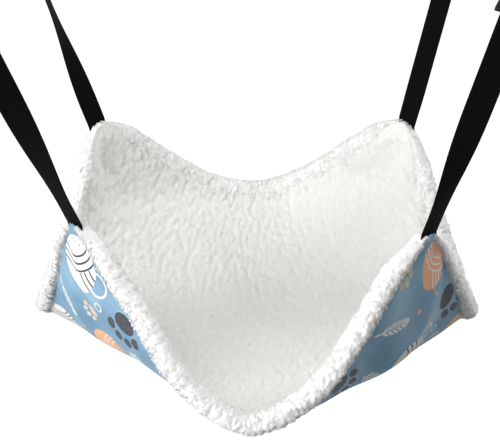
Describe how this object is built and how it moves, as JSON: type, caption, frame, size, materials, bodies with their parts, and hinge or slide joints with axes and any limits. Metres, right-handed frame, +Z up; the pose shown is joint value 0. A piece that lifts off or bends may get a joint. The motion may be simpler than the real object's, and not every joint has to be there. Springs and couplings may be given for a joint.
{
  "type": "cat hammock",
  "caption": "Hanging cat bed of printed cloth lined with white plush, with rolled plush rims, and corner straps that adjust and end in swivel snap hooks.",
  "frame": {"origin": "under the middle of the hung bed with its hooks, at the height of the bed's lowest point", "axes": "+Z up, +X to the bed's right, the front rim towards -Y"},
  "size_m": [0.5611, 0.4546, 0.5603],
  "materials": {
    "printed_cloth": "matte",
    "plush": "matte",
    "rim_plush": "matte",
    "webbing": "matte",
    "buckle_plastic": "satin",
    "hook_metal": "satin",
    "gate_metal": "satin",
    "pin_steel": "satin",
    "spring_steel": "polished"
  },
  "bodies": {
    "bed": {"outer_shell": "printed_cloth", "plush_lining": "plush", "front_rim": "rim_plush", "right_rim": "rim_plush", "rear_rim": "rim_plush", "left_rim": "rim_plush", "front_left_strap": "webbing", "front_left_strap_run": "webbing", "front_right_strap": "webbing", "front_right_strap_run": "webbing", "rear_left_strap": "webbing", "rear_left_strap_run": "webbing", "rear_right_strap": "webbing", "rear_right_strap_run": "webbing"},
    "front_left_eye_carrier": {"front_left_swivel_eye": "hook_metal", "front_left_strap_return": "webbing"},
    "front_left_slide_buckle": {"front_left_slider": "buckle_plastic", "front_left_strap_end": "webbing"},
    "front_left_hook": {"front_left_hook_body": "hook_metal", "front_left_gate_pin": "pin_steel", "front_left_gate_spring": "spring_steel"},
    "front_left_hook_gate": {"front_left_gate": "gate_metal"},
    "front_right_eye_carrier": {"front_right_swivel_eye": "hook_metal", "front_right_strap_return": "webbing"},
    "front_right_slide_buckle": {"front_right_slider": "buckle_plastic", "front_right_strap_end": "webbing"},
    "front_right_hook": {"front_right_hook_body": "hook_metal", "front_right_gate_pin": "pin_steel", "front_right_gate_spring": "spring_steel"},
    "front_right_hook_gate": {"front_right_gate": "gate_metal"},
    "rear_left_eye_carrier": {"rear_left_swivel_eye": "hook_metal", "rear_left_strap_return": "webbing"},
    "rear_left_slide_buckle": {"rear_left_slider": "buckle_plastic", "rear_left_strap_end": "webbing"},
    "rear_left_hook": {"rear_left_hook_body": "hook_metal", "rear_left_gate_pin": "pin_steel", "rear_left_gate_spring": "spring_steel"},
    "rear_left_hook_gate": {"rear_left_gate": "gate_metal"},
    "rear_right_eye_carrier": {"rear_right_swivel_eye": "hook_metal", "rear_right_strap_return": "webbing"},
    "rear_right_slide_buckle": {"rear_right_slider": "buckle_plastic", "rear_right_strap_end": "webbing"},
    "rear_right_hook": {"rear_right_hook_body": "hook_metal", "rear_right_gate_pin": "pin_steel", "rear_right_gate_spring": "spring_steel"},
    "rear_right_hook_gate": {"rear_right_gate": "gate_metal"}
  },
  "joints": [
    {"name": "front_left_strap_length", "type": "slide", "parent": "bed", "child": "front_left_eye_carrier", "axis": [-0.2956, -0.1081, 0.9492], "range_m": [-0.02, 0.012], "deforming": ["front_left_strap_run"]},
    {"name": "front_left_slider_slide", "type": "slide", "parent": "front_left_eye_carrier", "child": "front_left_slide_buckle", "axis": [-0.2956, -0.1081, 0.9492], "range_m": [-0.02, 0.012], "deforming": ["front_left_strap_return"]},
    {"name": "front_left_swivel_turn", "type": "hinge", "parent": "front_left_eye_carrier", "child": "front_left_hook", "pos_m": [-0.24487, -0.15357, 0.50477], "axis": [-0.2956, -0.1081, 0.9492], "continuous": true},
    {"name": "front_left_gate_hinge", "type": "hinge", "parent": "front_left_hook", "child": "front_left_hook_gate", "pos_m": [-0.26274, -0.15791, 0.52716], "axis": [-0.1617, 0.9849, 0.0618], "range_deg": [0, 40], "stiffness_Nm_per_rad": 0.03, "springref_deg": -28.65, "deforming": ["front_left_gate_spring"]},
    {"name": "front_right_strap_length", "type": "slide", "parent": "bed", "child": "front_right_eye_carrier", "axis": [0.2032, -0.1108, 0.9728], "range_m": [-0.02, 0.012], "deforming": ["front_right_strap_run"]},
    {"name": "front_right_slider_slide", "type": "slide", "parent": "front_right_eye_carrier", "child": "front_right_slide_buckle", "axis": [0.2032, -0.1108, 0.9728], "range_m": [-0.02, 0.012], "deforming": ["front_right_strap_return"]},
    {"name": "front_right_swivel_turn", "type": "hinge", "parent": "front_right_eye_carrier", "child": "front_right_hook", "pos_m": [0.24687, -0.16087, 0.49725], "axis": [0.2032, -0.1108, 0.9728], "continuous": true},
    {"name": "front_right_gate_hinge", "type": "hinge", "parent": "front_right_hook", "child": "front_right_hook_gate", "pos_m": [0.2624, -0.16584, 0.52119], "axis": [-0.2077, -0.9758, -0.0678], "range_deg": [0, 40], "stiffness_Nm_per_rad": 0.03, "springref_deg": -28.65, "deforming": ["front_right_gate_spring"]},
    {"name": "rear_left_strap_length", "type": "slide", "parent": "bed", "child": "rear_left_eye_carrier", "axis": [-0.2956, 0.1081, 0.9492], "range_m": [-0.02, 0.012], "deforming": ["rear_left_strap_run"]},
    {"name": "rear_left_slider_slide", "type": "slide", "parent": "rear_left_eye_carrier", "child": "rear_left_slide_buckle", "axis": [-0.2956, 0.1081, 0.9492], "range_m": [-0.02, 0.012], "deforming": ["rear_left_strap_return"]},
    {"name": "rear_left_swivel_turn", "type": "hinge", "parent": "rear_left_eye_carrier", "child": "rear_left_hook", "pos_m": [-0.26204, 0.15669, 0.50073], "axis": [-0.2956, 0.1081, 0.9492], "continuous": true},
    {"name": "rear_left_gate_hinge", "type": "hinge", "parent": "rear_left_hook", "child": "rear_left_hook_gate", "pos_m": [-0.26974, 0.14919, 0.52763], "axis": [-0.9549, -0.0615, -0.2904], "range_deg": [0, 40], "stiffness_Nm_per_rad": 0.03, "springref_deg": -28.65, "deforming": ["rear_left_gate_spring"]},
    {"name": "rear_right_strap_length", "type": "slide", "parent": "bed", "child": "rear_right_eye_carrier", "axis": [0.2032, 0.1108, 0.9728], "range_m": [-0.02, 0.012], "deforming": ["rear_right_strap_run"]},
    {"name": "rear_right_slider_slide", "type": "slide", "parent": "rear_right_eye_carrier", "child": "rear_right_slide_buckle", "axis": [0.2032, 0.1108, 0.9728], "range_m": [-0.02, 0.012], "deforming": ["rear_right_strap_return"]},
    {"name": "rear_right_swivel_turn", "type": "hinge", "parent": "rear_right_eye_carrier", "child": "rear_right_hook", "pos_m": [0.26, 0.1551, 0.50886], "axis": [0.2032, 0.1108, 0.9728], "continuous": true},
    {"name": "rear_right_gate_hinge", "type": "hinge", "parent": "rear_right_hook", "child": "rear_right_hook_gate", "pos_m": [0.27343, 0.15129, 0.53424], "axis": [-0.6216, -0.7531, 0.2157], "range_deg": [0, 40], "stiffness_Nm_per_rad": 0.03, "springref_deg": -28.65, "deforming": ["rear_right_gate_spring"]}
  ],
  "couplings": [
    {"joint": "front_left_slider_slide", "follows": "front_left_strap_length", "ratio": 1},
    {"joint": "front_right_slider_slide", "follows": "front_right_strap_length", "ratio": 1},
    {"joint": "rear_left_slider_slide", "follows": "rear_left_strap_length", "ratio": 1},
    {"joint": "rear_right_slider_slide", "follows": "rear_right_strap_length", "ratio": 1}
  ]
}
